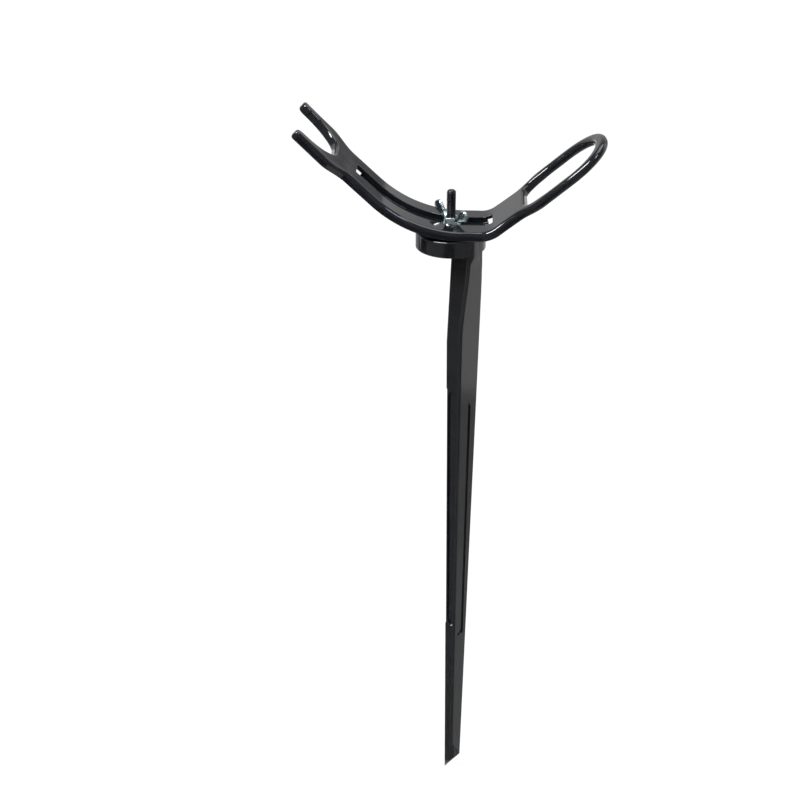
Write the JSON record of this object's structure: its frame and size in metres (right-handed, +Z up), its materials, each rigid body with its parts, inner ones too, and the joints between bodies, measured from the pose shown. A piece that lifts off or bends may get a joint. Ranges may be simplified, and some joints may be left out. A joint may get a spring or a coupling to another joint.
{
  "type": "ground stake rod holder",
  "caption": "Angle-section ground stake with a round head and a curved cradle, forked at one end and looped at the other, clamped through a slot by a wing nut.",
  "frame": {"origin": "on the bolt axis, level with the stake's point", "axes": "+Z up along the bolt axis, +X towards the loop end of the cradle, fork end towards -X"},
  "size_m": [0.1635, 0.051, 0.4258],
  "materials": {
    "stake_plastic": "satin moulded",
    "cradle_plastic": "glossy moulded",
    "black_steel": "blackened thread",
    "zinc_washer": "zinc plated",
    "zinc_nut": "zinc plated casting"
  },
  "bodies": {
    "stake_body": {"stake": "stake_plastic", "bolt": "black_steel"},
    "swivel_body": {"washer": "zinc_washer"},
    "cradle_body": {"cradle": "cradle_plastic"},
    "nut_body": {"wing_nut": "zinc_nut"}
  },
  "joints": [
    {"name": "cradle_swivel", "type": "hinge", "parent": "stake_body", "child": "swivel_body", "pos_m": [0, 0, 0.363], "axis": [0, 0, 1], "continuous": true},
    {"name": "cradle_tilt", "type": "hinge", "parent": "swivel_body", "child": "cradle_body", "pos_m": [0.007, 0, 0.43105], "axis": [0, -1, 0], "range_deg": [0, 36]},
    {"name": "nut_turn", "type": "hinge", "parent": "stake_body", "child": "nut_body", "pos_m": [0, 0, 0.364], "axis": [0, 0, 1], "continuous": true}
  ]
}
